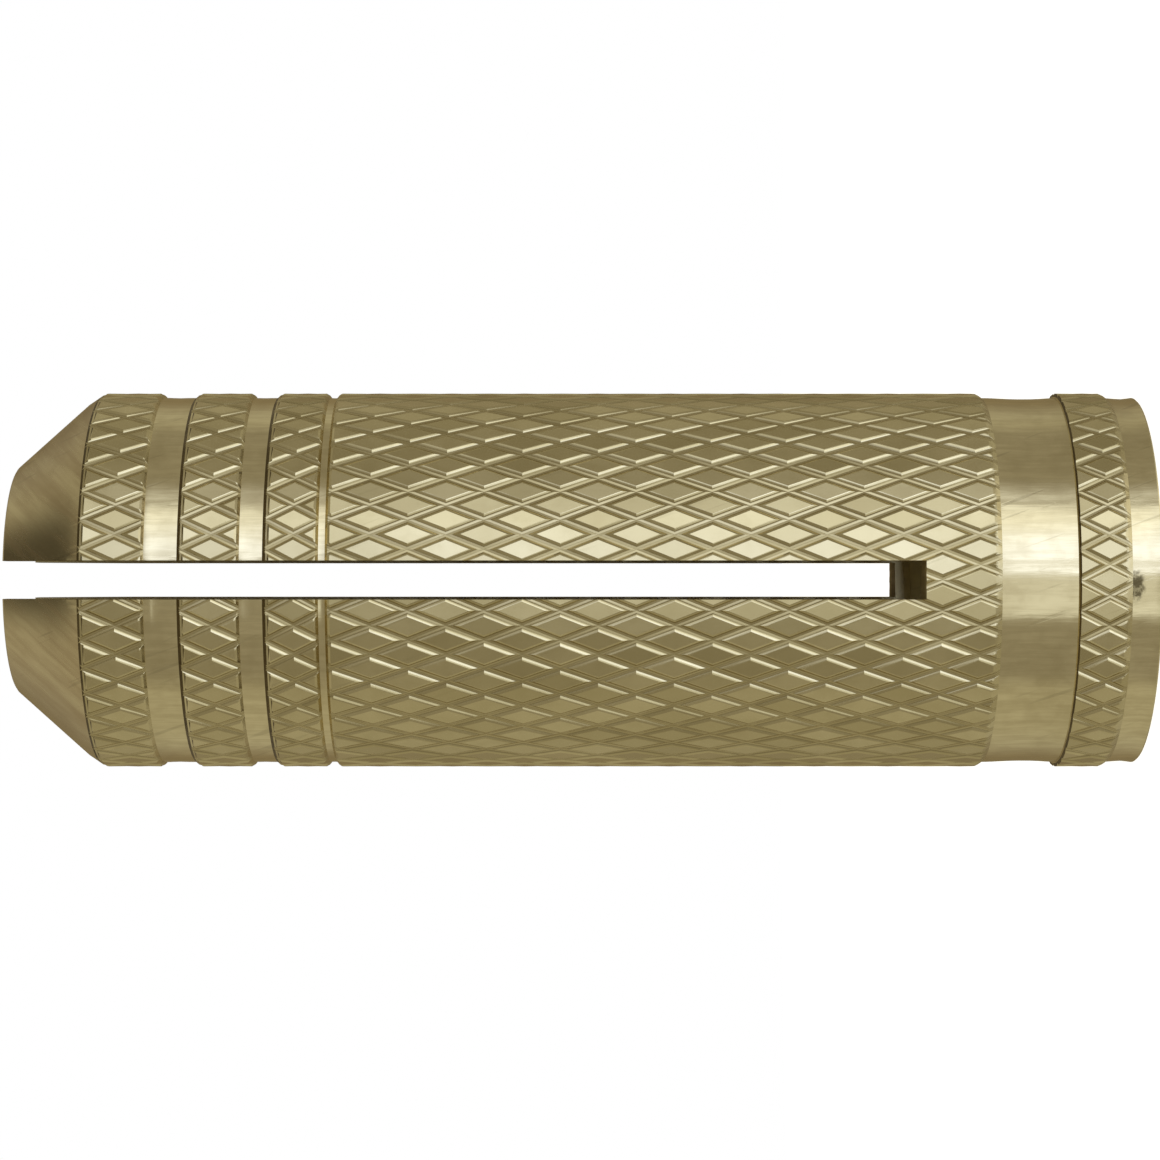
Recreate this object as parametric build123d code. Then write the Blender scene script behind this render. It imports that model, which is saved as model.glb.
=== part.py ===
from build123d import *
import math
import os

# Brass expansion anchor: one turned sleeve, knurled outside, threaded inside, slotted from the cone.
# Millimetres. +Z runs up the axis from the mouth to the cone. The origin is the centre of the
# mouth face, which the sleeve stands on.

# Whole sleeve
sleeve_length = 23.8
knurl_diameter = 8.0

# Slot through both walls, which makes the two jaws
slot_width = 0.8
slot_floor_height = 4.8

# Bore: thread core from the mouth, then a taper down to the narrow bore between the jaws
thread_core_diameter = 5.0
mouth_countersink = 0.5
tip_bore_diameter = 3.5
tip_bore_length = 4.3
bore_taper_length = 4.0

# Cone at the tip, and the steep step under it
tip_diameter = 4.84
cone_length = 1.55
cone_base_diameter = 7.56
cone_step_height = 0.15

# Heights of the knurled bands and of the plain stretches between them, from the mouth up. The
# long body, between the neck and the narrow gap, takes what they leave of the sleeve's length.
lip_height = 0.60
collar_height = 1.08
neck_height = 1.59
narrow_gap = 0.335
ring_height = 1.02
middle_gap = 0.59
upper_ring_height = 1.14
wide_gap = 0.78
top_ring_height = 1.23
shoulder_height = 0.13

# Depths of the plain stretches below the knurl's outside
lip_depth = 0.11
neck_edge_depth = 0.10
neck_middle_depth = 0.13
groove_depth = 0.10
shoulder_depth = 0.04

# Diamond knurl: two families of grooves cross and leave flat diamonds. A diamond's length runs
# along the axis. Each band was rolled with its own, and has a line of crossings at its top end.
diamonds_around = 40
knurl_groove_depth = 0.065
knurl_flat_share = 0.64
collar_diamond = 1.20
body_diamond = 1.55
ring_diamond = 1.18
upper_ring_diamond = 1.30
top_ring_diamond = 1.40

# Metal left on for the knurl to take off, and how far a cut runs past the metal
rolling_allowance = 0.01
overrun = 0.05

# Radii and heights worked out from the sizes above
knurl_radius = knurl_diameter / 2
blank_radius = knurl_radius + rolling_allowance
knurl_root_radius = knurl_radius - knurl_groove_depth
core_radius = thread_core_diameter / 2
tip_bore_radius = tip_bore_diameter / 2
tip_radius = tip_diameter / 2
cone_base_radius = cone_base_diameter / 2

collar_top = lip_height + collar_height
body_bottom = collar_top + neck_height

cone_bottom = sleeve_length - cone_length
shoulder_top = cone_bottom - cone_step_height
top_ring_top = shoulder_top - shoulder_height
top_ring_bottom = top_ring_top - top_ring_height
upper_ring_top = top_ring_bottom - wide_gap
upper_ring_bottom = upper_ring_top - upper_ring_height
ring_top = upper_ring_bottom - middle_gap
ring_bottom = ring_top - ring_height
body_top = ring_bottom - narrow_gap

tip_bore_bottom = sleeve_length - tip_bore_length
thread_top = tip_bore_bottom - bore_taper_length

# The knurled bands: bottom, top and the length of a diamond
knurled_bands = [
    (lip_height, collar_top, collar_diamond),
    (body_bottom, body_top, body_diamond),
    (ring_bottom, ring_top, ring_diamond),
    (upper_ring_bottom, upper_ring_top, upper_ring_diamond),
    (top_ring_bottom, top_ring_top, top_ring_diamond),
]


def sunk(depth, *heights):
    """Points of the turned section at one depth below the knurl's outside."""
    return [(knurl_radius - depth, height) for height in heights]


def raised(low, high):
    """A band left a hair too large, which the knurl brings to size."""
    return [(blank_radius, low), (blank_radius, high)]


def outer_section():
    """The turned outside from the mouth to the tip."""
    Polyline(
        *sunk(lip_depth, 0, lip_height),
        *raised(lip_height, collar_top),
        *sunk(neck_edge_depth, collar_top),
        *sunk(neck_middle_depth, (collar_top + body_bottom) / 2),
        *sunk(neck_edge_depth, body_bottom),
        *raised(body_bottom, body_top),
        *sunk(groove_depth, body_top, ring_bottom),
        *raised(ring_bottom, ring_top),
        *sunk(groove_depth, ring_top, upper_ring_bottom),
        *raised(upper_ring_bottom, upper_ring_top),
        *sunk(groove_depth, upper_ring_top, top_ring_bottom),
        *raised(top_ring_bottom, top_ring_top),
        *sunk(shoulder_depth, top_ring_top, shoulder_top),
        (cone_base_radius, cone_bottom),
        (tip_radius, sleeve_length),
    )


def inner_section():
    """The bore from the tip back to the mouth, which closes the section."""
    Polyline(
        (tip_radius, sleeve_length),
        (tip_bore_radius, sleeve_length),
        (tip_bore_radius, tip_bore_bottom),
        (core_radius, thread_top),
        (core_radius, mouth_countersink),
        (core_radius + mouth_countersink, 0),
        *sunk(lip_depth, 0),
    )


def turned_blank():
    """The sleeve as it leaves the lathe, before it is knurled and slotted."""
    with BuildPart() as blank:
        with BuildSketch(Plane.XZ):
            with BuildLine():
                outer_section()
                inner_section()
            make_face()
        revolve(axis=Axis.Z)
    return blank.part


def flat_face(corners):
    """A plane face with straight edges from corner to corner."""
    return Face(Wire.make_polygon(corners, close=True))


class Diamond:
    """One diamond of the knurl, on the +X side: a flat square to the radius, with four flanks."""

    def __init__(self, height, length):
        half_angle = math.pi / diamonds_around
        flat_distance = knurl_radius * math.cos(knurl_flat_share * half_angle)
        reach = knurl_root_radius * math.sin(half_angle)
        bow = knurl_root_radius * (1 - math.cos(half_angle))
        rise = (flat_distance - knurl_root_radius) / (1 - knurl_flat_share)
        flat_reach = reach * knurl_flat_share * rise / (rise + bow)
        flat_half = knurl_flat_share * length / 2
        self.root_sides = [(knurl_root_radius - bow, side * reach, height) for side in (-1, 1)]
        self.flat_sides = [(flat_distance, side * flat_reach, height) for side in (-1, 1)]
        self.root_ends = {way: (knurl_root_radius, 0, height + way * length / 2) for way in (-1, 1)}
        self.flat_ends = {way: (flat_distance, 0, height + way * flat_half) for way in (-1, 1)}

    def faces(self, ways):
        """The flat, and the flanks that face up (1), down (-1) or both ways."""
        left, right = self.flat_sides
        corners = [self.flat_ends[way] for way in ways]
        faces = [flat_face([left, corners[0], right, *corners[1:]])]
        for way in ways:
            for root, flat in zip(self.root_sides, self.flat_sides):
                faces.append(flat_face([root, flat, self.flat_ends[way], self.root_ends[way]]))
        return faces

    def rim(self):
        """The corners on its middle line, where an end of the knurled bar cuts it across."""
        return [self.root_sides[0], *self.flat_sides]


def knurled_bar(low, top, diamond_length):
    """A bar with the knurl all round it, from the crossings at its top to below the low height."""
    row_height = diamond_length / 2
    last_row = math.ceil((top - low) / row_height)
    pitch = 360 / diamonds_around
    skin = []
    for row in range(last_row + 1):
        diamond = Diamond(top - row * row_height, diamond_length)
        shift = pitch / 2 if row % 2 == 0 else 0
        turns = [Rot(Z=shift + place * pitch) for place in range(diamonds_around)]
        ways = [way for way in (1, -1) if 0 <= row - way <= last_row]
        skin += [turn * face for face in diamond.faces(ways) for turn in turns]
        if len(ways) == 1:
            rim = [turn * Pos(*corner) for turn in turns for corner in diamond.rim()]
            skin.append(flat_face([place.position for place in rim]))
    return Solid(Shell(skin))


def knurl_waste(low, top, diamond_length):
    """What rolling the knurl takes off one band of the blank."""
    bottom = low - overrun
    around = Cylinder(blank_radius + overrun, top - bottom)
    bar = knurled_bar(bottom, top, diamond_length)
    return Pos(0, 0, (bottom + top) / 2) * around - bar


def slot_cutter():
    """The saw's path: a flat-ended slot across the whole diameter, open at the tip."""
    across = 2 * (blank_radius + overrun)
    length = sleeve_length + overrun - slot_floor_height
    return Pos(0, 0, slot_floor_height + length / 2) * Box(slot_width, across, length)


knurled_sleeve = turned_blank() - [knurl_waste(*band) for band in knurled_bands]
anchor_sleeve = knurled_sleeve - slot_cutter()

os.makedirs("parts", exist_ok=True)
export_step(anchor_sleeve, "parts/anchor_sleeve.step")
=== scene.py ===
"""Brass expansion anchor: the knurled, slotted sleeve, dressed and lit for its picture.

Lengths in the dataclasses are in millimetres. The frame's mouth face is at z = 0 and the coned
tip is up. Angles round the sleeve start on the -Y side, where the slot is, and turn towards +X.
"""

import logging
import math
from dataclasses import dataclass, field
from enum import Enum

import bmesh
import bpy
import numpy as np
from mathutils import Matrix, Vector

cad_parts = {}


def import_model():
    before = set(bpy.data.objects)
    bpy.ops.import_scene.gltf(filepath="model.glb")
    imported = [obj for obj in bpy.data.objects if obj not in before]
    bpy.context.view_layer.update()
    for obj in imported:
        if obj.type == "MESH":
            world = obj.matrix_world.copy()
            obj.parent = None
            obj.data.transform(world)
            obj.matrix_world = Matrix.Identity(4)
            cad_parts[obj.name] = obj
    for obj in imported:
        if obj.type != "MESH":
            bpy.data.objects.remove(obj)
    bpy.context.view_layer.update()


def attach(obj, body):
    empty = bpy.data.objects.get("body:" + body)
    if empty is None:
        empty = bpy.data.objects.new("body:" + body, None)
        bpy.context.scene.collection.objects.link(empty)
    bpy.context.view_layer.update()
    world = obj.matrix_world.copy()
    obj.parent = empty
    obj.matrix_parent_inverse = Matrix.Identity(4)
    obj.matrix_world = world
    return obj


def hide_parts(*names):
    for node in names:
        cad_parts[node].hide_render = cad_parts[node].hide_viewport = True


MM = 0.001
TURN = 2 * math.pi
LOG = logging.getLogger("anchor")

Triple = tuple[float, float, float]
Colour = Triple
Span = tuple[float, float]

# Places of the values at a triangle's corner
ANGLE, HEIGHT, RADIUS, GROOVE, TONE, FINISH = range(6)

# Values this near are the same, triangles this small are empty, corners this near are welded
SAME = 1e-6
EMPTY = 1e-9
WELD = 0.0004


class Finish(Enum):
    """What a part of the surface is dressed with. The value is its material slot."""

    TURNED = 0
    KNURLED = 1
    CONE = 2
    # The step finish is painted shade: a dark colour for the shadow at a band's ledge.
    STEP = 3
    THREAD = 4
    SAWN = 5


class PaintedShade(Enum):
    """Where a piece of a band's end gets painted shade: a dark finish for the shadow at a ledge."""

    NONE = 0
    WALL = 1
    ALL = 2


class Edge(Enum):
    """How a knurled band ends.

    Each point has its distance past the flats, its radius and the painted shade from it to the
    next.
    """

    BEVEL = ((0.0, 4.0, PaintedShade.NONE), (0.045, 3.968, PaintedShade.NONE), (0.10, 3.90, PaintedShade.NONE))
    SLOPE = ((0.0, 4.0, PaintedShade.NONE), (0.06, 3.965, PaintedShade.NONE), (0.15, 3.90, PaintedShade.NONE))
    CORNER = ((0.0, 4.0, PaintedShade.ALL), (0.03, 3.93, PaintedShade.NONE), (0.05, 3.90, PaintedShade.NONE))
    LEDGE = (
        (0.0, 4.0, PaintedShade.WALL),
        (0.032, 3.973, PaintedShade.NONE),
        (0.07, 3.966, PaintedShade.WALL),
        (0.14, 3.903, PaintedShade.NONE),
    )
    SHOULDER = (
        (0.0, 4.0, PaintedShade.WALL),
        (0.032, 3.973, PaintedShade.NONE),
        (0.07, 3.966, PaintedShade.WALL),
        (0.12, 3.932, PaintedShade.NONE),
    )


def put_in_scene(name: str, data: bpy.types.ID) -> bpy.types.Object:
    """Makes an object of a mesh or a camera and links it.

    Args:
        name: The object's name.
        data: Its mesh or camera.

    Returns:
        The object, at the origin.
    """
    made = bpy.data.objects.new(name, data)
    bpy.context.collection.objects.link(made)
    return made


# Mesh tools


def wedge_soup(angles: np.ndarray, heights: np.ndarray, radii: np.ndarray) -> np.ndarray:
    """Turns grids of corner values into loose triangles.

    Each cell of the grid is split along its first diagonal.

    Args:
        angles: Angle round the axis at each grid point, rows by columns.
        heights: Height at each grid point.
        radii: Radius at each grid point.

    Returns:
        Triangles as an array (count, 3 corners, 3 values: angle, height, radius).
    """
    grid = np.stack(np.broadcast_arrays(angles, heights, radii), axis=-1)
    a, b, c, d = grid[:-1, :-1], grid[:-1, 1:], grid[1:, 1:], grid[1:, :-1]
    return np.concatenate(
        [np.stack(corners, axis=2).reshape(-1, 3, 3) for corners in ((a, b, c), (a, c, d))]
    )


def cut_at_height(soup: np.ndarray, level: float) -> np.ndarray:
    """Splits triangles along a level line, with all their values carried over linearly.

    Args:
        soup: Triangles (count, 3, values).
        level: Height of the cut. Corners next to it count as on it.

    Returns:
        The same surface as triangles that lie above or below the level.
    """
    heights = soup[:, :, HEIGHT]
    crossing = (heights.max(1) > level + SAME) & (heights.min(1) < level - SAME)
    order = np.argsort(heights[crossing], axis=1)[:, :, None]
    work = np.take_along_axis(soup[crossing], order, axis=1)
    low, mid, high = work[:, 0], work[:, 1], work[:, 2]

    def between(start: np.ndarray, end: np.ndarray) -> np.ndarray:
        """The points where some edges cross the level.

        Args:
            start: One end of each edge.
            end: The other end.

        Returns:
            The points, with their values in proportion.
        """
        rise = end[:, HEIGHT] - start[:, HEIGHT]
        share = (level - start[:, HEIGHT]) / np.where(rise == 0, 1, rise)
        point = start + (end - start) * share[:, None]
        point[:, HEIGHT] = level
        return point

    side = mid[:, HEIGHT] - level
    on, over, under = np.abs(side) <= SAME, side > SAME, side < -SAME
    long = between(low, high)
    pieces = [soup[~crossing]]
    for chosen, triangles in (
        (on, lambda k, s: ((low[k], s, mid[k]), (s, high[k], mid[k]))),
        (over, lambda k, s: _split(low[k], mid[k], high[k], s, between(low[k], mid[k]))),
        (under, lambda k, s: _split(high[k], mid[k], low[k], s, between(mid[k], high[k]))),
    ):
        if chosen.any():
            pieces += [np.stack(t, axis=1) for t in triangles(chosen, long[chosen])]
    return np.concatenate(pieces)


def _split(
    tip: np.ndarray, mid: np.ndarray, far: np.ndarray, long: np.ndarray, short: np.ndarray
) -> tuple[tuple[np.ndarray, ...], ...]:
    """Three triangles of one cut across two edges: the tip alone, and the rest in two."""
    return (tip, long, short), (short, long, far), (short, far, mid)


def zip_rings(lower: np.ndarray, upper: np.ndarray) -> np.ndarray:
    """Joins two rings of points that go once round the axis, whatever their counts.

    Walking round both rings at once, each edge of one ring makes a triangle with the point
    that the walk has reached on the other.

    Args:
        lower: Ring (count, 3 values: angle, height, radius), sorted by angle.
        upper: The other ring, likewise.

    Returns:
        Triangles (count, 3, 3).
    """

    def closed(points: np.ndarray) -> np.ndarray:
        """The ring with its first point again at the end, one turn on."""
        return np.concatenate([points, points[:1] + [[TURN, 0, 0]]])

    first, second = closed(lower), closed(upper)
    mids_a = (first[1:, 0] + first[:-1, 0]) / 2
    mids_b = (second[1:, 0] + second[:-1, 0]) / 2
    reach_b, reach_a = np.searchsorted(mids_b, mids_a), np.searchsorted(mids_a, mids_b)
    return np.concatenate(
        [
            np.stack([first[:-1], first[1:], second[reach_b]], axis=1),
            np.stack([second[1:], second[:-1], first[reach_a]], axis=1),
        ]
    )


def ring(columns: int, height: float, radius: float) -> np.ndarray:
    """Evenly spaced points of a circle round the axis, as (angle, height, radius)."""
    angles = np.arange(columns) * TURN / columns
    return np.stack([angles, np.full(columns, height), np.full(columns, radius)], axis=1)


def turned_soup(points: np.ndarray, columns: int) -> np.ndarray:
    """A surface of revolution: the (height, radius) points turned round the axis."""
    angles = np.linspace(0, TURN, columns + 1)
    return wedge_soup(angles[None, :], points[:, :1], points[:, 1:])


def rim_of(soup: np.ndarray, level: float) -> np.ndarray:
    """The points of a soup on one level.

    Args:
        soup: Triangles (count, 3, values).
        level: The level, which a point has to meet ten times as closely as SAME.

    Returns:
        Points (count, 3 values: angle, height, radius), once each and sorted by angle.
    """
    points = soup.reshape(-1, soup.shape[2])[:, :3]
    points = points[np.abs(points[:, HEIGHT] - level) < SAME / 10].copy()
    angles = points[:, ANGLE] % TURN
    points[:, ANGLE] = np.where(angles > TURN - SAME, 0, angles)
    points = points[np.argsort(points[:, ANGLE])]
    fresh = np.diff(points[:, ANGLE], prepend=-1) > SAME
    return points[fresh]


def unrolled_area(soup: np.ndarray) -> np.ndarray:
    """Twice each triangle's area on the unrolled surface, negative where it faces the axis."""
    one, two = soup[:, 1] - soup[:, 0], soup[:, 2] - soup[:, 0]
    return one[:, ANGLE] * two[:, HEIGHT] - one[:, HEIGHT] * two[:, ANGLE]


def outwards(soup: np.ndarray) -> np.ndarray:
    """Winds the triangles of an outer surface so that they all face away from the axis.

    Args:
        soup: Triangles (count, 3, values), wound either way.

    Returns:
        The same triangles, some of them turned round.
    """
    flipped = unrolled_area(soup) < 0
    soup = soup.copy()
    soup[flipped] = soup[flipped][:, ::-1]
    return soup


def dressed(soup: np.ndarray, finish: Finish, groove: float = 1.0, tone: float = 0.5) -> np.ndarray:
    """Adds what the finish reads to plain triangles.

    Args:
        soup: Triangles (count, 3, 3).
        finish: Their finish.
        groove: Distance from the middle of a groove of the knurl, 1 where there is none.
        tone: A diamond's own tone, 0.5 where there is none.

    Returns:
        Triangles (count, 3, 6 values: angle, height, radius, groove, tone, finish).
    """
    extra = np.broadcast_to([groove, tone, finish.value], (*soup.shape[:2], 3))
    return np.concatenate([soup[:, :, :3], extra], axis=2)


def solid_mesh(name: str, soup: np.ndarray) -> bpy.types.Mesh:
    """Welds loose triangles in cylinder coordinates into one closed mesh in metres.

    x = r sin(angle), y = -r cos(angle), z = height.

    Args:
        name: Name of the mesh.
        soup: Dressed triangles (count, 3, 6), all wound the same way round.

    Returns:
        The mesh, with the attributes groove and tone, and its material indices set.
    """
    angle, height, radius = soup.reshape(-1, soup.shape[2])[:, :3].T
    places = np.stack([radius * np.sin(angle), -radius * np.cos(angle), height], axis=1)
    mesh = bpy.data.meshes.new(name)
    mesh.from_pydata((places * MM).tolist(), [], np.arange(len(places)).reshape(-1, 3).tolist())
    mesh.polygons.foreach_set("material_index", soup[:, 0, FINISH].round().astype(np.int32))
    groove = mesh.attributes.new("groove", "FLOAT", "CORNER")
    groove.data.foreach_set("value", soup[:, :, GROOVE].ravel().astype(np.float32))
    tone = mesh.attributes.new("tone", "FLOAT", "FACE")
    tone.data.foreach_set("value", soup[:, 0, TONE].astype(np.float32))
    work = bmesh.new()
    work.from_mesh(mesh)
    bmesh.ops.remove_doubles(work, verts=work.verts, dist=WELD * MM)
    bmesh.ops.dissolve_degenerate(work, edges=work.edges, dist=WELD * MM)
    work.to_mesh(mesh)
    work.free()
    mesh.update()
    return mesh


# The sleeve


@dataclass(frozen=True)
class Knurl:
    """The rolled pattern: grooves on two crossing spirals, with flat diamonds between them.

    Distances across a groove are shares of the spacing of the grooves, from its middle line.
    The flank starts gently at the flat and gets steeper, and the bottom is nearly level.
    """

    around: int = 40
    outside: float = 3.998
    depths: tuple[Span, ...] = (
        (0.0, 0.0495),
        (0.085, 0.0405),
        (0.12, 0.0215),
        (0.165, 0.0063),
        (0.195, 0.0),
    )

    @property
    def step(self) -> float:
        """Half the angle between two crossings."""
        return math.pi / self.around

    def diamond(self) -> np.ndarray:
        """One diamond with its share of the grooves round it.

        Points of one depth lie on a rhombus: one at the distance s from the grooves' middle
        lines has its corners at 1 - 2 s of the diamond's half diagonals. The flat is a plane, so
        its radius is the plane's distance over the cosine of the angle from its middle.

        Returns:
            Triangles (count, 3, 4 values): the angle from the middle in steps, the height in half
            diamonds, the radius, and the distance s.
        """
        corners = np.array([(1, 0), (0, 1), (-1, 0), (0, -1)])
        deepest = self.depths[0][1]
        half = (1 - 2 * self.depths[-1][0]) * self.step
        rings = []
        for place, depth in self.depths:
            across, along = (1 - 2 * place) * corners.T
            angles = np.minimum(np.abs(across) * self.step, half)
            level = self.outside * math.cos(half) / np.cos(angles)
            radius = level + (self.outside - deepest - level) * depth / deepest
            rings.append(np.stack([across, along, radius, np.full(4, place)], axis=1))
        rings = np.array(rings)
        outer, inner = rings[:-1], rings[1:]
        next_outer, next_inner = np.roll(outer, -1, axis=1), np.roll(inner, -1, axis=1)
        strips = [(outer, next_outer, next_inner), (outer, next_inner, inner)]
        made = [np.stack(strip, axis=2).reshape(-1, 3, 4) for strip in strips]
        return np.concatenate([*made, rings[-1][np.array([(0, 1, 2), (0, 2, 3)])]])


@dataclass(frozen=True)
class Band:
    """A knurled band: the heights of its ends, its lattice, and how each end is finished.

    The lattice has a line of crossings at one height, and rows of half a diamond. The seed is
    for the diamonds' tones.
    """

    name: str
    low: float
    high: float
    crossing: float
    half: float
    low_edge: Edge
    high_edge: Edge
    seed: int

    def profile(self) -> np.ndarray:
        """The turned outline of the band, as (height, radius) from its lower foot up."""
        low = [(self.low - d, r) for d, r, _ in reversed(self.low_edge.value)]
        return np.array(low + [(self.high + d, r) for d, r, _ in self.high_edge.value])

    def lattice(self, knurl: Knurl, foot: float, top: float) -> np.ndarray:
        """Copies of the diamond on the lattice, each with a tone of its own.

        The rows lie half a diamond apart from the line of crossings, and every other row is
        turned by half a diamond's width.

        Args:
            knurl: The pattern to roll.
            foot: Height down to which the rows reach.
            top: Height up to which they reach.

        Returns:
            Triangles (count, 3, 5 values: angle, height, radius, groove, tone).
        """
        rows = np.arange(
            math.floor((foot - self.crossing) / self.half),
            math.ceil((top - self.crossing) / self.half) + 1,
        )
        row, place = np.meshgrid(rows, np.arange(knurl.around), indexing="ij")
        middle = place.ravel() * 2.0 + (row.ravel() % 2 == 0)
        tones = np.random.default_rng(self.seed).random(middle.size)
        across, along, radius, groove = np.moveaxis(knurl.diamond(), 2, 0)
        values = np.broadcast_arrays(
            (middle[:, None, None] + across) * knurl.step,
            self.crossing + (row.ravel()[:, None, None] + along) * self.half,
            radius,
            groove,
            tones[:, None, None],
        )
        return np.stack(values, axis=-1).reshape(-1, 3, len(values))

    def shaded_pieces(self, made: np.ndarray, limit: np.ndarray) -> np.ndarray:
        """Which triangles lie on a piece of the upper end that gets painted shade.

        Args:
            made: The band's triangles, before the outline limits them.
            limit: The outline's radius at each of their corners.

        Returns:
            True or false for each triangle.
        """
        over = (made[:, :, RADIUS] > limit - 10 * SAME).sum(1) > 1
        past = made[:, :, HEIGHT].mean(1) - self.high
        step = np.zeros(len(made), bool)
        # Walls or whole pieces of the upper end take painted shade.
        for (start, _, shade_kind), (end, _, _) in zip(self.high_edge.value, self.high_edge.value[1:]):
            here = (past > start) & (past < end)
            step |= here & ((shade_kind is PaintedShade.ALL) | (over & (shade_kind is PaintedShade.WALL)))
        return step

    def soup(self, knurl: Knurl) -> np.ndarray:
        """The band's surface, from foot to foot.

        The lattice's diamonds are cut at each height where the turned outline bends, and then
        lie at the smaller of the knurl's and the outline's radius. Pieces of the upper end with
        painted shade get the step's dark finish, which paints the ledge's shadow.

        Args:
            knurl: The pattern to roll.

        Returns:
            Dressed triangles.
        """
        outline = self.profile()
        foot, top = outline[0, 0], outline[-1, 0]
        made = self.lattice(knurl, foot, top)
        for level in outline[:, 0]:
            made = cut_at_height(made, level)
        heights = made[:, :, HEIGHT]
        made = made[(heights.min(1) > foot - SAME) & (heights.max(1) < top + SAME)]
        limit = np.interp(made[:, :, HEIGHT], outline[:, 0], outline[:, 1])
        # Pieces with painted shade get the dark step finish for the ledge's shadow.
        finish = np.where(self.shaded_pieces(made, limit), Finish.STEP.value, Finish.KNURLED.value)
        made[:, :, RADIUS] = np.minimum(made[:, :, RADIUS], limit)
        finish = np.broadcast_to(finish[:, None, None], (*made.shape[:2], 1))
        return outwards(np.concatenate([made, finish], axis=2))


@dataclass(frozen=True)
class Stretch:
    """A plain turned stretch between two bands, as (height, radius) points."""

    name: str
    points: tuple[tuple[float, float], ...]
    finish: Finish = Finish.TURNED

    def curve(self) -> np.ndarray:
        """The points as an array."""
        return np.array(self.points)


@dataclass(frozen=True)
class ThreadedBore:
    """The inside of the sleeve: a screw thread from the mouth, a taper, and the narrow bore.

    The bends are where the thread's profile bends, in pitches: the end of the root's flat, the
    core's flat, and the start of the root's next flat.
    """

    core: float = 2.5
    root: float = 2.98
    pitch: float = 1.0
    mouth_cone: float = 0.5
    thread_end: float = 15.5
    fade: float = 1.2
    taper_end: float = 19.5
    tip_bore: float = 1.75
    columns: int = 96
    bends: tuple[float, ...] = (0.06, 0.36, 0.64, 0.94)

    def radius(self, angle: np.ndarray, height: np.ndarray) -> np.ndarray:
        """Radius of the threaded wall.

        The phase is the height in pitches less the turn round the axis. The wall follows a
        60 degree profile of the phase, which fades out at the top and opens in a cone at the mouth.

        Args:
            angle: Angle round the axis at each point.
            height: Height at each point.

        Returns:
            The radius at each point.
        """
        phase = (height / self.pitch + angle / TURN) % 1.0
        shape = np.interp(phase, [0, *self.bends, 1], [1, 1, 0, 0, 1, 1])
        fading = np.clip((self.thread_end - height) / self.fade, 0, 1)
        cut = self.core + (self.root - self.core) * shape * fading
        return np.maximum(cut, self.core + self.mouth_cone - height)

    def soup(self, tip: float) -> np.ndarray:
        """The bore's surface from the mouth to the tip, facing the axis.

        The grid's rows climb with the thread, and are held between the mouth and the thread's
        end, where they close up to level rings.

        Args:
            tip: Height of the sleeve's tip.

        Returns:
            Triangles (count, 3, 3).
        """
        turns = np.arange(-2, math.ceil(self.thread_end / self.pitch) + 3)
        starts = (turns[:, None] + np.array(self.bends)[None, :]) * self.pitch
        angles = np.linspace(0, TURN, self.columns + 1)[None, :]
        heights = starts.reshape(-1, 1) - angles / TURN * self.pitch
        heights = np.clip(heights, 0, self.thread_end)
        wall = wedge_soup(angles, heights, self.radius(angles, heights))
        wall = wall[np.abs(unrolled_area(wall)) > EMPTY]
        ends = [(self.thread_end, self.core), (self.taper_end, self.tip_bore), (tip, self.tip_bore)]
        upper = turned_soup(np.array(ends), self.columns)
        return outwards(np.concatenate([wall, upper]))[:, ::-1]


@dataclass(frozen=True)
class Slot:
    """The saw cut through both walls, open at the tip.

    Its cutter reaches past the sleeve's sides and its tip.
    """

    width: float = 0.8
    far_width: float = 0.75
    floor: float = 4.8
    reach: float = 5.0
    overrun: float = 1.0

    def cutter(self, tip: float, materials: list[bpy.types.Material]) -> bpy.types.Object:
        """A closed block along the saw's path.

        Args:
            tip: Height of the sleeve's tip.
            materials: The sleeve's materials, so that the cut faces get the sawn one.

        Returns:
            The block as an object, to be removed after the cut.
        """
        ends = ((-self.reach, self.width / 2), (self.reach, self.far_width / 2))
        places = [
            (side * half * MM, end * MM, level * MM)
            for level in (self.floor, tip + self.overrun)
            for end, half in ends
            for side in (-1, 1)
        ]
        faces = [(0, 2, 3, 1), (4, 5, 7, 6), (0, 1, 5, 4), (2, 6, 7, 3), (0, 4, 6, 2), (1, 3, 7, 5)]
        mesh = bpy.data.meshes.new("slot_cutter")
        mesh.from_pydata(places, [], faces)
        for material in materials:
            mesh.materials.append(material)
        mesh.polygons.foreach_set("material_index", [Finish.SAWN.value] * len(faces))
        return put_in_scene("slot_cutter", mesh)


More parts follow.
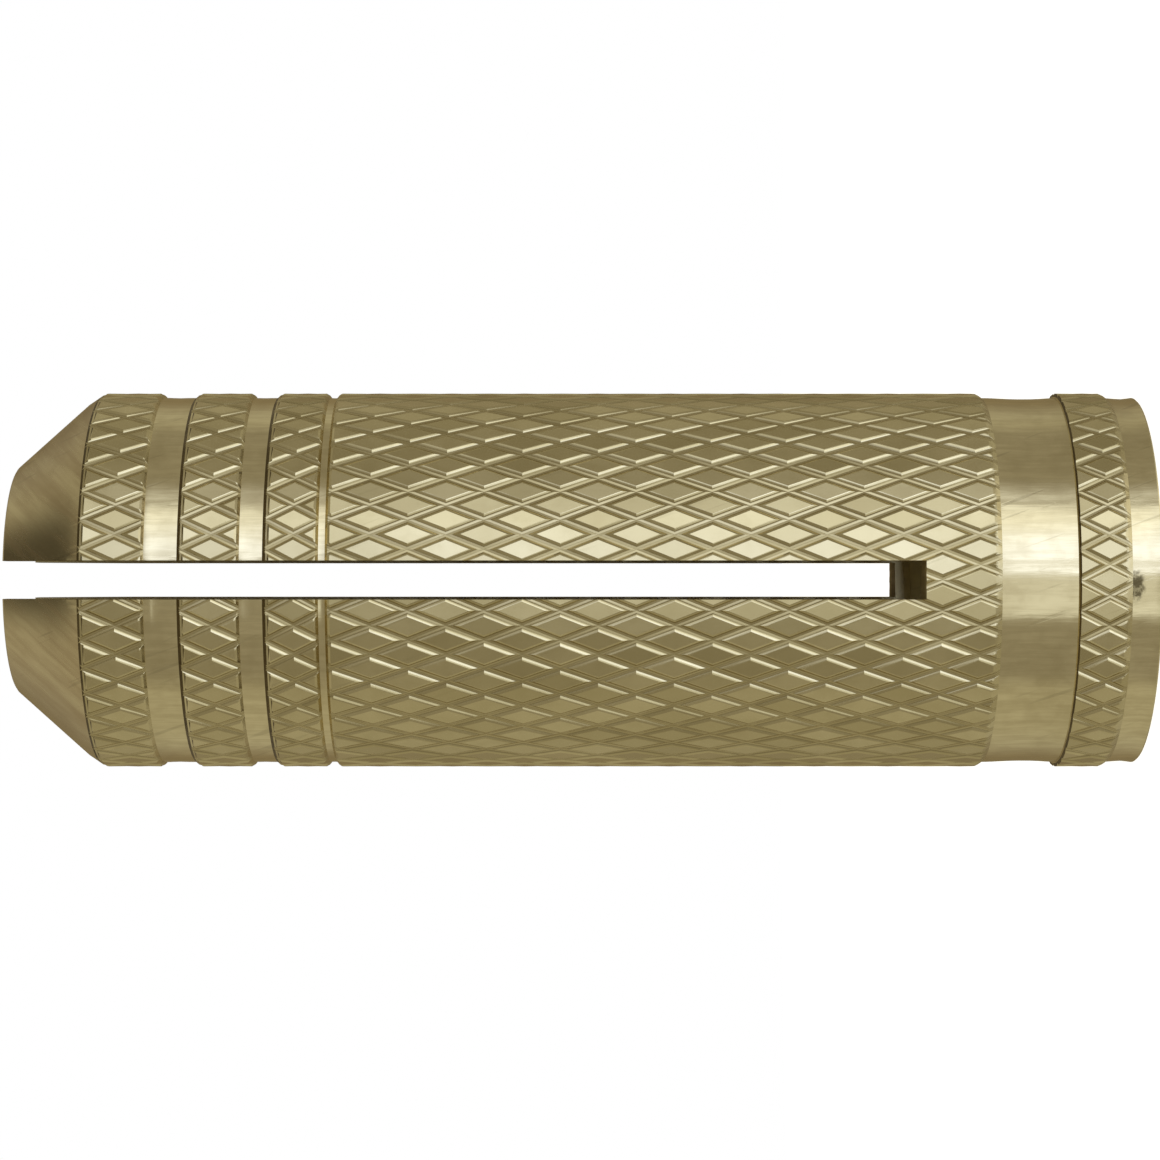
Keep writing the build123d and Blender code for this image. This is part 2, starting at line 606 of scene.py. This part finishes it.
@dataclass
class Sleeve:
    """The whole anchor: knurled bands, plain stretches, bore and slot, in one closed mesh."""

    knurl: Knurl = field(default_factory=Knurl)
    bore: ThreadedBore = field(default_factory=ThreadedBore)
    slot: Slot = field(default_factory=Slot)
    columns: int = 240
    tip: float = 23.8
    tip_radius: float = 2.42
    tip_round: float = 0.02
    crease: float = 12.0
    bands: tuple[Band, ...] = (
        Band("collar", 0.76, 1.655, 1.68, 0.60, Edge.SLOPE, Edge.CORNER, seed=6),
        Band("body", 3.40, 16.90, 16.875, 0.775, Edge.SLOPE, Edge.BEVEL, seed=4),
        Band("ring", 17.235, 18.13, 18.23, 0.59, Edge.BEVEL, Edge.LEDGE, seed=4),
        Band("upper_ring", 18.84, 19.865, 19.96, 0.65, Edge.BEVEL, Edge.LEDGE, seed=10),
        Band("top_ring", 20.78, 21.905, 21.97, 0.70, Edge.BEVEL, Edge.SHOULDER, seed=8),
    )

    def stretches(self) -> tuple[Stretch, ...]:
        """The plain stretches, each from one band's foot to the next, as (height, radius) points.

        Returns:
            The stretches from the mouth up.
        """
        feet = [(tuple(band.profile()[0]), tuple(band.profile()[-1])) for band in self.bands]
        (lip_end, neck_start), (neck_end, narrow_start), (narrow_end, middle_start) = feet[:3]
        (middle_end, wide_start), (wide_end, cone_start) = feet[3:]
        rim = ((0, 3.875), (0.03, 3.903), (0.12, 3.89), (0.25, 3.876), (0.4, 3.883))
        waist = ((1.86, 3.892), (2.0, 3.882), (2.2, 3.875), (2.44, 3.874), (2.63, 3.878))
        waist_end = ((2.82, 3.886), (3.01, 3.896), (3.14, 3.9))
        cone = ((22.252, 3.779), (22.6, 3.474), (23.0, 3.123), (23.4, 2.771))
        nose = ((23.77, 2.446), (self.tip, self.tip_radius - self.tip_round))
        middle = ((18.44, 3.9), (18.55, 3.897), (18.66, 3.9))
        wide = ((20.2, 3.901), (20.36, 3.896), (20.52, 3.9), (20.62, 3.905))
        return (
            Stretch("lip", (*rim, lip_end)),
            Stretch("neck", (neck_start, *waist, *waist_end, neck_end)),
            Stretch("narrow_groove", (narrow_start, (17.07, 3.896), narrow_end)),
            Stretch("middle_groove", (middle_start, *middle, middle_end)),
            Stretch("wide_groove", (wide_start, *wide, wide_end)),
            Stretch("cone", (cone_start, *cone, *nose), Finish.CONE),
        )

    def soup(self) -> np.ndarray:
        """The sleeve before the slot: every band and stretch, zipped at the feet, and the bore.

        Returns:
            Dressed triangles of one closed surface.
        """
        made, joints = [], []
        for band in self.bands:
            LOG.info("knurled: %s", band.name)
            surface = band.soup(self.knurl)
            made.append(surface)
            outline = band.profile()
            joints.append((rim_of(surface, outline[0, 0]), rim_of(surface, outline[-1, 0])))
        for index, stretch in enumerate(self.stretches()):
            LOG.info("turned: %s", stretch.name)
            curve = stretch.curve()
            first = 1 if index else 0
            last = len(curve) - 1 if index < len(joints) else len(curve)
            plain = []
            if last - first > 1:
                plain.append(turned_soup(curve[first:last], self.columns))
            if index:
                plain.append(zip_rings(joints[index - 1][1], ring(self.columns, *curve[first])))
            if index < len(joints):
                plain.append(zip_rings(ring(self.columns, *curve[last - 1]), joints[index][0]))
            made.append(dressed(outwards(np.concatenate(plain)), stretch.finish))
        inside = self.bore.soup(self.tip)
        bottom, top = rim_of(inside, 0.0), rim_of(inside, self.tip)
        start, end = self.stretches()[0].curve()[0], self.stretches()[-1].curve()[-1]
        made.append(dressed(inside, Finish.THREAD))
        made.append(dressed(zip_rings(ring(self.columns, *start), bottom)[:, ::-1], Finish.TURNED))
        made.append(dressed(zip_rings(ring(self.columns, *end), top), Finish.CONE))
        return np.concatenate(made)

    def build(self, materials: list[bpy.types.Material]) -> bpy.types.Object:
        """Makes the sleeve's mesh and saws the slot into it.

        Args:
            materials: One material for each finish, in the order of their slots.

        Returns:
            The finished object, at the origin.
        """
        sleeve = put_in_scene("knurled_sleeve", solid_mesh("knurled_sleeve", self.soup()))
        for material in materials:
            sleeve.data.materials.append(material)
        cutter = self.slot.cutter(self.tip, materials)
        cut = sleeve.modifiers.new("saw_cut", "BOOLEAN")
        cut.operation, cut.solver, cut.object = "DIFFERENCE", "EXACT", cutter
        cut.material_mode = "INDEX"
        with bpy.context.temp_override(object=sleeve, active_object=sleeve):
            bpy.ops.object.modifier_apply(modifier=cut.name)
        bpy.data.objects.remove(cutter, do_unlink=True)
        sleeve.data.shade_smooth()
        sleeve.data.set_sharp_from_angle(angle=math.radians(self.crease))
        return sleeve


# Finishes


Socket = bpy.types.NodeSocket


class Graph:
    """Short ways to add and join the nodes of one tree."""

    def __init__(self, tree: bpy.types.NodeTree) -> None:
        """Takes the tree to work in."""
        self.tree = tree

    def add(self, kind: str, values: dict | None = None, **settings: object) -> bpy.types.Node:
        """Adds a node.

        Args:
            kind: Its type.
            values: Values of its inputs or sockets to link to them, by name or place.
            **settings: Its own properties.

        Returns:
            The node.
        """
        node = self.tree.nodes.new(kind)
        for name, value in settings.items():
            setattr(node, name, value)
        self.put(node, values or {})
        return node

    def put(self, node: bpy.types.Node, values: dict) -> None:
        """Sets inputs of a node: a socket is linked, anything else is a constant.

        Args:
            node: The node.
            values: What each input gets, by name or place.
        """
        for name, value in values.items():
            if isinstance(value, Socket):
                self.tree.links.new(value, node.inputs[name])
            else:
                node.inputs[name].default_value = value

    def sum(self, operation: str, one: Socket | float, two: Socket | float) -> Socket:
        """The result of a piece of arithmetic on two values."""
        return self.add("ShaderNodeMath", {0: one, 1: two}, operation=operation).outputs[0]

    def times(self, one: Socket | float, two: Socket | float) -> Socket:
        """The product of two values."""
        return self.sum("MULTIPLY", one, two)

    def ramp(self, value: Socket, span: Span, start: float = 0.0, end: float = 1.0) -> Socket:
        """A soft step from one value to another.

        Args:
            value: What decides.
            span: Where the step begins and ends.
            start: The result up to its beginning.
            end: The result from its end on.

        Returns:
            The result.
        """
        given = {"Value": value, "From Min": span[0], "From Max": span[1]}
        given |= {"To Min": start, "To Max": end}
        node = self.add("ShaderNodeMapRange", given, interpolation_type="SMOOTHSTEP")
        return node.outputs["Result"]

    def blend(self, share: Socket, one: Socket | Colour, two: Socket | Colour) -> Socket:
        """A colour between two.

        Args:
            share: Share of the second colour, from 0 to 1.
            one: The first colour.
            two: The second.

        Returns:
            The colour.
        """
        ends = [(*colour, 1) if isinstance(colour, tuple) else colour for colour in (one, two)]
        node = self.add("ShaderNodeMix", data_type="RGBA")
        self.put(node, {0: share, 6: ends[0], 7: ends[1]})
        return node.outputs[2]

    def noise(self, place: Socket, scale: Socket | float, **values: float) -> Socket:
        """A noise over a place, whose values keep the names of the node's inputs."""
        given = {"Vector": place, "Scale": scale, **values}
        return self.add("ShaderNodeTexNoise", given).outputs[0]

    def vector(self, operation: str, one: Socket, two: Socket | Triple) -> Socket:
        """The result of a piece of arithmetic on two vectors."""
        given = {0: one, 1: two}
        return self.add("ShaderNodeVectorMath", given, operation=operation).outputs[0]

    def distance(self, one: Socket, two: Socket | Triple) -> Socket:
        """The distance between two places."""
        return self.add("ShaderNodeVectorMath", {0: one, 1: two}, operation="DISTANCE").outputs[1]

    def attribute(self, name: str) -> Socket:
        """A value that the mesh carries."""
        return self.add("ShaderNodeAttribute", attribute_name=name).outputs["Fac"]

    def effect(self, group: bpy.types.NodeTree, values: dict) -> Socket:
        """Adds a shared effect.

        Args:
            group: The effect's node group.
            values: This tree's own values for it.

        Returns:
            The effect's output.
        """
        node = self.add("ShaderNodeGroup", values, node_tree=group)
        return node.outputs[0]


class MaterialGraph(Graph):
    """A material in the making."""

    def __init__(self, name: str) -> None:
        """Makes the material, with its usual shader in it."""
        self.material = bpy.data.materials.new(name)
        self.material.use_nodes = True
        super().__init__(self.material.node_tree)
        self.shader = self.tree.nodes["Principled BSDF"]


class EffectGraph(Graph):
    """A node group in the making, with named inputs and one named output."""

    def __init__(self, name: str, inputs: dict[str, str], output: str) -> None:
        """Makes the empty group.

        Args:
            name: The group's name.
            inputs: Kind of each input, Vector or Float, by name.
            output: Name of the output, a float.
        """
        super().__init__(bpy.data.node_groups.new(name, "ShaderNodeTree"))
        sockets = [(label, "INPUT", kind) for label, kind in inputs.items()]
        for label, way, kind in (*sockets, (output, "OUTPUT", "Float")):
            self.tree.interface.new_socket(label, in_out=way, socket_type="NodeSocket" + kind)
        self.given = self.add("NodeGroupInput").outputs

    def finished(self, result: Socket) -> bpy.types.NodeTree:
        """Puts the result out and gives the group."""
        self.add("NodeGroupOutput", {0: result})
        return self.tree

    def drawn_out(self) -> Socket:
        """The group's own Vector, turned by its Turn and stretched by its Stretch."""
        given = {"Vector": self.given["Vector"], "Angle": self.given["Turn"]}
        turned = self.add("ShaderNodeVectorRotate", given, rotation_type="Y_AXIS").outputs[0]
        return self.vector("MULTIPLY", turned, self.given["Stretch"])


@dataclass
class Effects:
    """The effects that more than one finish uses, each built once."""

    tarnish: bpy.types.NodeTree = field(init=False)
    lines: bpy.types.NodeTree = field(init=False)
    scratches: bpy.types.NodeTree = field(init=False)

    def __post_init__(self) -> None:
        """Builds the groups."""
        self.tarnish = self._tarnish()
        self.lines = self._lines()
        self.scratches = self._scratches()

    @staticmethod
    def _tarnish() -> bpy.types.NodeTree:
        """Cloudy patches, large and about six times finer, where the brass is duller.

        Returns:
            The group.
        """
        inputs = {"Vector": "Vector", "Scale": "Float", "Amount": "Float"}
        graph = EffectGraph("tarnish", inputs, "Mask")
        place, scale = graph.given["Vector"], graph.given["Scale"]
        large = graph.noise(place, scale, Detail=3.0)
        small = graph.noise(place, graph.times(scale, 6.0), Detail=4.0)
        large_patches = graph.ramp(large, (0.4, 0.68), end=0.62)
        small_patches = graph.ramp(small, (0.42, 0.7), end=0.38)
        both = graph.sum("ADD", large_patches, small_patches)
        return graph.finished(graph.times(both, graph.given["Amount"]))

    @staticmethod
    def _lines() -> bpy.types.NodeTree:
        """Fine lines left by a tool: noise that is stretched a lot one way.

        Returns:
            The group.
        """
        inputs = {"Vector": "Vector", "Turn": "Float", "Stretch": "Vector"}
        graph = EffectGraph("tool_lines", inputs, "Lines")
        noise = graph.noise(graph.drawn_out(), 1.0, Detail=3.0, Roughness=0.65)
        return graph.finished(graph.ramp(noise, (0.32, 0.68)))

    @staticmethod
    def _scratches() -> bpy.types.NodeTree:
        """Single thin scratches: the peaks of long stretched noise, broken by a second noise.

        A peak counts from the rarity on, and in full from a little above it.

        Returns:
            The group.
        """
        inputs = {"Vector": "Vector", "Turn": "Float", "Stretch": "Vector", "Rarity": "Float"}
        graph = EffectGraph("scratches", inputs, "Mask")
        noise, rarity = graph.noise(graph.drawn_out(), 1.0, Detail=1.0), graph.given["Rarity"]
        peak = graph.add(
            "ShaderNodeMapRange",
            {"Value": noise, "From Min": rarity, "From Max": graph.sum("ADD", rarity, 0.05)},
        )
        broken = graph.ramp(graph.noise(graph.given["Vector"], 700.0), (0.4, 0.55))
        return graph.finished(graph.times(peak.outputs["Result"], broken))


@dataclass(frozen=True)
class Brass:
    """A brass surface: its clean and dull colours, its tool lines and its scratches.

    Heights of lines and scratches are shares of the bump, in millimetres. Where clouds and
    lines add up to rough_from, the roughness is the second of the two.
    """

    name: str
    clean: Colour = (0.72, 0.61, 0.35)
    dull: Colour = (0.50, 0.405, 0.195)
    cloud_scale: float = 260.0
    cloud: float = 0.55
    turn: float = 0.0
    stretch: Triple = (3200.0, 3200.0, 130.0)
    line_share: float = 0.22
    line_height: float = 0.5
    scratch_turn: float = 0.35
    scratch_stretch: Triple = (9000.0, 700.0, 350.0)
    scratch_rarity: float = 0.665
    scratch_share: float = 0.22
    scratch_tone: float = 0.45
    scratch_depth: float = 2.5
    roughness: Span = (0.10, 0.22)
    rough_from: float = 1.6
    bump: float = 0.001
    metallic: float = 1.0
    specular: float = 0.5

    def extras(self, graph: Graph, place: Socket, look: dict[str, Socket]) -> dict[str, Socket]:
        """What only this finish has, laid over its look. Plain brass has nothing more."""
        return look

    def material(self, effects: Effects) -> bpy.types.Material:
        """The finish as a material.

        Args:
            effects: The shared effects.

        Returns:
            The material.
        """
        graph = MaterialGraph(self.name)
        place = graph.add("ShaderNodeTexCoord").outputs["Object"]
        cloud = graph.effect(
            effects.tarnish, {"Vector": place, "Scale": self.cloud_scale, "Amount": self.cloud}
        )
        lines = graph.effect(
            effects.lines, {"Vector": place, "Turn": self.turn, "Stretch": self.stretch}
        )
        scratch = graph.effect(
            effects.scratches,
            {
                "Vector": place,
                "Turn": self.scratch_turn,
                "Stretch": self.scratch_stretch,
                "Rarity": self.scratch_rarity,
            },
        )
        worn = graph.times(scratch, self.scratch_share)
        colour = graph.blend(cloud, self.clean, self.dull)
        colour = graph.blend(graph.times(lines, self.line_share), colour, self.dull)
        colour = graph.blend(worn, colour, tuple(self.scratch_tone * part for part in self.dull))
        rough = graph.ramp(graph.sum("ADD", cloud, lines), (0.0, self.rough_from), *self.roughness)
        raised, cut = graph.times(lines, self.line_height), graph.times(worn, self.scratch_depth)
        height = graph.sum("SUBTRACT", raised, cut)
        bump = graph.add("ShaderNodeBump", {"Height": height, "Distance": self.bump * MM})
        look = self.extras(graph, place, {"Base Color": colour, "Roughness": rough})
        look |= {"Metallic": self.metallic, "Specular IOR Level": self.specular}
        graph.put(graph.shader, look | {"Normal": bump.outputs["Normal"]})
        return graph.material


@dataclass(frozen=True)
class KnurledBrass(Brass):
    """The rolled surface: each diamond has its own tone, and the grooves are darkened with dirt and
    painted shade.

    Edges are spans of the distance from a groove's middle line, as the knurl measures it.
    """

    # Colour of the dirt and painted shade in the grooves' bottoms and at the flanks' feet.
    dirt_and_shade: Colour = (0.20, 0.15, 0.06)
    tones: Span = (0.25, 1.0)
    tone_share: float = 0.66
    foot: float = 0.35
    foot_from: Span = (0.055, 0.08)
    foot_to: Span = (0.085, 0.12)
    bottom: float = 0.3
    bottom_edge: Span = (0.006, 0.022)
    groove_share: float = 0.45
    groove_edge: Span = (0.08, 0.092)
    groove_roughness: float = 0.30
    flat_edge: Span = (0.188, 0.194)
    flat_roughness: float = 0.24

    def extras(self, graph: Graph, place: Socket, look: dict[str, Socket]) -> dict[str, Socket]:
        """Darkens some diamonds, and darkens the grooves' bottoms, their middle line and the
        flanks' feet with dirt and painted shade.

        The flanks are the smoothest: the roller burnished them.

        Args:
            graph: The material's graph.
            place: Object coordinates, not used here.
            look: What plain brass gives the shader.

        Returns:
            What this finish gives it.
        """
        shade = graph.ramp(graph.attribute("tone"), self.tones, end=self.tone_share)
        colour = graph.blend(shade, look["Base Color"], self.dull)
        groove = graph.attribute("groove")
        # The groove floors, the middle line and the flanks' feet get dirt and painted shade.
        risen = graph.ramp(groove, self.foot_from, end=self.foot)
        foot = graph.times(risen, graph.ramp(groove, self.foot_to, 1.0, 0.0))
        bottom = graph.ramp(groove, self.bottom_edge, self.bottom, 0.0)
        floor = graph.ramp(groove, self.groove_edge, 1.0, 0.0)
        colour = graph.blend(graph.times(floor, self.groove_share), colour, self.dull)
        colour = graph.blend(foot, colour, self.dirt_and_shade)
        flat = graph.ramp(groove, self.flat_edge, end=self.flat_roughness)
        rough = graph.sum("MAXIMUM", flat, graph.times(floor, self.groove_roughness))
        rough = graph.sum("MAXIMUM", rough, look["Roughness"])
        return {"Base Color": graph.blend(bottom, colour, self.dirt_and_shade), "Roughness": rough}


@dataclass(frozen=True)
class LipBrass(Brass):
    """The turned surface, with a brown stain on the mouth's rim.

    The stain's place and size are in millimetres. It fades with the distance in its own sizes,
    and its grains make it ragged.
    """

    stain: Colour = (0.07, 0.05, 0.018)
    stain_at: Triple = (-0.12, -3.9, 0.57)
    stain_size: Triple = (0.44, 1.5, 0.29)
    stain_fade: Span = (0.0, 1.2)
    stain_edge: Span = (0.14, 0.78)
    stain_share: float = 0.88
    grain_scale: float = 8000.0
    grain_edge: Span = (0.36, 0.64)
    grain: Span = (0.55, 1.25)

    def extras(self, graph: Graph, place: Socket, look: dict[str, Socket]) -> dict[str, Socket]:
        """Lays the stain over the plain look.

        Args:
            graph: The material's graph.
            place: Object coordinates.
            look: What plain brass gives the shader.

        Returns:
            What this finish gives it.
        """
        shares = tuple(1 / (part * MM) for part in self.stain_size)
        centre = tuple(at / size for at, size in zip(self.stain_at, self.stain_size))
        away = graph.distance(graph.vector("MULTIPLY", place, shares), centre)
        near = graph.ramp(away, self.stain_fade, 1.0, 0.0)
        speckle = graph.noise(place, self.grain_scale, Detail=4.0, Roughness=0.6)
        grains = graph.ramp(speckle, self.grain_edge, *self.grain)
        mask = graph.ramp(graph.times(near, grains), self.stain_edge, end=self.stain_share)
        return look | {"Base Color": graph.blend(mask, look["Base Color"], self.stain)}


def sleeve_finishes() -> dict[Finish, Brass]:
    """The finish of each part of the surface.

    Returns:
        The finishes, by the part.
    """
    return {
        Finish.TURNED: LipBrass(
            "turned_brass",
            clean=(0.85, 0.725, 0.425),
            dull=(0.56, 0.455, 0.24),
            cloud_scale=430.0,
            cloud=0.72,
            stretch=(8000.0, 8000.0, 600.0),
            line_share=0.45,
            roughness=(0.07, 0.18),
        ),
        Finish.KNURLED: KnurledBrass(
            "rolled_brass",
            clean=(0.72, 0.607, 0.335),
            cloud_scale=420.0,
            cloud=0.5,
            line_share=0.10,
            roughness=(0.16, 0.26),
            scratch_share=0.12,
            bump=0.0004,
        ),
        Finish.CONE: Brass(
            "satin_brass",
            clean=(0.71, 0.59, 0.335),
            dull=(0.45, 0.33, 0.17),
            turn=0.9,
            stretch=(300.0, 300.0, 3000.0),
            line_share=0.7,
            roughness=(0.20, 0.34),
        ),
        # Painted shade: a dark colour for the shadow at the bands' ledges.
        Finish.STEP: Brass(
            "painted_shade_step", clean=(0.16, 0.115, 0.05), dull=(0.08, 0.055, 0.022), roughness=(0.3, 0.5)
        ),
        Finish.THREAD: Brass(
            "oxidised_bore",
            clean=(0.62, 0.53, 0.30),
            dull=(0.42, 0.36, 0.20),
            roughness=(0.55, 0.7),
            metallic=0.0,
            specular=0.2,
        ),
        Finish.SAWN: Brass(
            "sawn_slot",
            clean=(0.42, 0.315, 0.13),
            dull=(0.25, 0.185, 0.075),
            stretch=(4000.0, 200.0, 6000.0),
            line_share=0.6,
            roughness=(0.60, 0.75),
            metallic=0.0,
            specular=0.1,
        ),
    }


# Studio


def soft_step(value: np.ndarray, low: float, high: float) -> np.ndarray:
    """From 0 at low to 1 at high, level at both ends: 3 t squared less 2 t cubed."""
    share = np.clip((value - low) / (high - low), 0, 1)
    return share * share * (3 - 2 * share)


@dataclass(frozen=True)
class Camera:
    """The photograph's camera, lying on its side: the tip is at the left of the picture."""

    distance: float = 69.57
    height: float = 11.82
    lens: float = 100.55
    sensor: float = 36.0
    clip: Span = (1.0, 10000.0)

    def build(self) -> bpy.types.Object:
        """Makes the camera, looking along +Y with +X up.

        Returns:
            The camera.
        """
        data = bpy.data.cameras.new("camera")
        data.lens, data.sensor_width = self.lens, self.sensor
        data.clip_start, data.clip_end = (end * MM for end in self.clip)
        camera = put_in_scene("camera", data)
        right, up, back = Vector((0, 0, -1)), Vector((1, 0, 0)), Vector((0, -1, 0))
        turn = Matrix((right, up, back)).transposed().to_4x4()
        camera.matrix_world = Matrix.Translation((0, -self.distance * MM, self.height * MM)) @ turn
        bpy.context.scene.camera = camera
        return camera


@dataclass(frozen=True)
class Tent:
    """A light tent round the sleeve, whose soft light the metal shows.

    Turns are angles round the sleeve's axis from the camera towards +X, and lifts are angles
    towards the mouth's side, in degrees.
    """

    radius: float = 300.0
    middle: float = 11.8
    window: Colour = (1.50, 1.70, 2.35)
    window_top: Colour = (1.32, 1.38, 1.35)
    glow: Colour = (0.80, 0.84, 0.88)
    shade: Colour = (0.325, 0.308, 0.255)
    far_side: Colour = (0.45, 0.435, 0.355)
    back: Colour = (0.24, 0.19, 0.10)
    below_tip: Colour = (0.48, 0.46, 0.38)
    below_mouth: Colour = (1.0, 1.0, 0.95)
    hollow: Colour = (0.075, 0.068, 0.05)
    bars: tuple[Triple, ...] = ((10.5, 1.4, 0.8), (48.9, 1.6, 0.85))
    fine: Span = (-20.0, 64.0)
    fine_step: float = 0.5
    step: float = 3.0
    rows: int = 90

    def light(self, directions: np.ndarray) -> np.ndarray:
        """Colour of the light from each direction.

        It starts as the shade, and each layer lays its colour over the last by a share. The
        share's soft steps are in degrees of turn and lift, or in parts of the unit vector.

        The shade changes to the far side's light and then to the back's warm light. Beyond the
        tip it is a little lighter on one side, round a hollow that stays dark, and beyond the
        mouth it is light. On the camera's side is the window, with a soft top and a sharp foot,
        a dimmer glow under it on the mouth's side, and thin bars across it.

        Args:
            directions: Unit vectors (count, 3) from the middle of the tent.

        Returns:
            Colours (count, 3).
        """
        x, y, z = directions.T
        turn = np.degrees(np.arctan2(x, -y))
        lift = np.degrees(np.arcsin(np.clip(-z, -1, 1)))
        seen = soft_step(lift, -30, -6) * (0.8 + 0.2 * soft_step(lift, -8, 14))
        seen = seen * (1 - soft_step(lift, 84, 90))
        window = soft_step(turn, 1, 8) * (1 - soft_step(turn, 22, 66)) * seen
        for place, width, share in self.bars:
            window = window * (1 - share * np.exp(-(((turn - place) / width) ** 2)))
        glow = soft_step(turn, -26, -20) * (1 - soft_step(turn, 10, 30)) * soft_step(lift, -6, -3)
        hollow = 1 - soft_step(np.hypot(x - 0.07, y - 0.06), 0.17, 0.45)
        layers = (
            (soft_step(y - 0.4 * x, -0.18, 0.12), self.far_side),
            (soft_step(y, 0.50, 0.95), self.back),
            (soft_step(z, 0.70, 0.90), self.far_side),
            (soft_step(z, 0.55, 0.85) * soft_step(-x, 0.1, 0.4), self.below_tip),
            (hollow * (z > 0), self.hollow),
            (soft_step(-z, 0.75, 0.95) * soft_step(x, -0.3, 0.1), self.below_mouth),
            (glow, self.glow),
            (window, self.window),
            (window * soft_step(turn, 18, 46), self.window_top),
        )
        made = np.broadcast_to(self.shade, directions.shape)
        for share, colour in layers:
            made = made + (np.array(colour) - made) * share[:, None]
        return made

    def directions(self) -> np.ndarray:
        """Unit vectors on a grid of lifts and turns, with finer columns where the window is.

        x = sin(turn) cos(lift), y = -cos(turn) cos(lift), z = -sin(lift).

        Returns:
            The vectors (rows, columns, 3).
        """
        low, high = self.fine
        spans = ((-180, low, self.step), (low, high, self.fine_step), (high, 180, self.step))
        turns = np.concatenate([np.arange(*span) for span in spans])
        turns[-1] = 180
        lifts = np.linspace(-90, 90, self.rows + 1)
        turn, lift = np.radians(np.meshgrid(turns, lifts))
        level = np.cos(lift)
        return np.stack([np.sin(turn) * level, -np.cos(turn) * level, -np.sin(lift)], -1)

    def glowing(self) -> bpy.types.Material:
        """The material, which gives off the light that the mesh carries.

        Returns:
            The material.
        """
        graph = MaterialGraph("tent_light")
        graph.tree.nodes.clear()
        graph.material.cycles.emission_sampling = "NONE"
        read = graph.add("ShaderNodeAttribute", attribute_name="light")
        glow = graph.add("ShaderNodeEmission", {"Color": read.outputs["Color"], "Strength": 1.0})
        graph.add("ShaderNodeOutputMaterial", {"Surface": glow.outputs["Emission"]})
        return graph.material

    def build(self) -> bpy.types.Object:
        """Makes the tent as a sphere.

        Returns:
            The tent.
        """
        out = self.directions()
        index = np.arange(out.shape[0] * out.shape[1]).reshape(out.shape[:2])
        faces = np.stack([index[:-1, :-1], index[:-1, 1:], index[1:, 1:], index[1:, :-1]], -1)
        out = out.reshape(-1, 3)
        places = (out * self.radius + [0, 0, self.middle]) * MM
        mesh = bpy.data.meshes.new("light_tent")
        mesh.from_pydata(places.tolist(), [], faces.reshape(-1, 4).tolist())
        shades = mesh.attributes.new("light", "FLOAT_COLOR", "POINT")
        colours = np.concatenate([self.light(out), np.ones((len(out), 1))], axis=1)
        shades.data.foreach_set("color", colours.ravel().astype(np.float32))
        mesh.materials.append(self.glowing())
        tent = put_in_scene("light_tent", mesh)
        tent.visible_camera = tent.visible_shadow = False
        return tent


@dataclass(frozen=True)
class Floor:
    """A plain pale disc under the mouth, which only the camera sees."""

    radius: float = 120.0
    drop: float = 0.02
    sides: int = 96
    tone: float = 0.9
    roughness: float = 0.8
    glow: float = 0.85

    def build(self) -> bpy.types.Object:
        """Makes the floor. Its own glow brings it to white, and the sleeve's shadow stays.

        Returns:
            The floor.
        """
        places = ring(self.sides, -self.drop, self.radius)
        angles, heights, radii = places.T
        places = np.stack([radii * np.cos(angles), radii * np.sin(angles), heights], axis=1)
        mesh = bpy.data.meshes.new("floor")
        mesh.from_pydata((places * MM).tolist(), [], [list(range(self.sides))])
        floor = put_in_scene("floor", mesh)
        floor.visible_glossy = floor.visible_shadow = floor.visible_diffuse = False
        graph = MaterialGraph("pale_floor")
        graph.put(
            graph.shader,
            {
                "Base Color": (self.tone, self.tone, self.tone, 1),
                "Roughness": self.roughness,
                "Emission Color": (1, 1, 1, 1),
                "Emission Strength": self.glow,
            },
        )
        mesh.materials.append(graph.material)
        return floor


@dataclass
class Studio:
    """The camera, the light tent, the pale floor and the white surroundings."""

    camera: Camera = field(default_factory=Camera)
    tent: Tent = field(default_factory=Tent)
    floor: Floor = field(default_factory=Floor)

    def build(self) -> None:
        """Builds it all."""
        for part in (self.camera, self.tent, self.floor):
            made = part.build()
            LOG.info("studio: %s", made.name)
        self.surroundings()
        bpy.context.scene.view_settings.view_transform = "Standard"

    def surroundings(self) -> None:
        """A white world."""
        world = bpy.data.worlds.new("surroundings")
        bpy.context.scene.world = world
        world.use_nodes = True
        shader = world.node_tree.nodes["Background"]
        shader.inputs["Color"].default_value = (1, 1, 1, 1)
        shader.inputs["Strength"].default_value = 1.0


def corners(box: tuple[Vector, Vector]) -> list[list[float]]:
    """A box as plain lists of numbers."""
    return [list(map(float, corner)) for corner in box]


def main() -> None:
    """Builds the sleeve and the studio."""
    logging.basicConfig(level=logging.INFO, format="%(name)s: %(message)s")
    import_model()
    effects = Effects()
    finishes = sleeve_finishes()
    materials = [finishes[finish].material(effects) for finish in Finish]
    sleeve = Sleeve().build(materials)
    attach(sleeve, "root")
    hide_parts("anchor_sleeve")
    LOG.info("%s: %d faces", sleeve.name, len(sleeve.data.polygons))
    Studio().build()


if __name__ == "__main__":
    main()
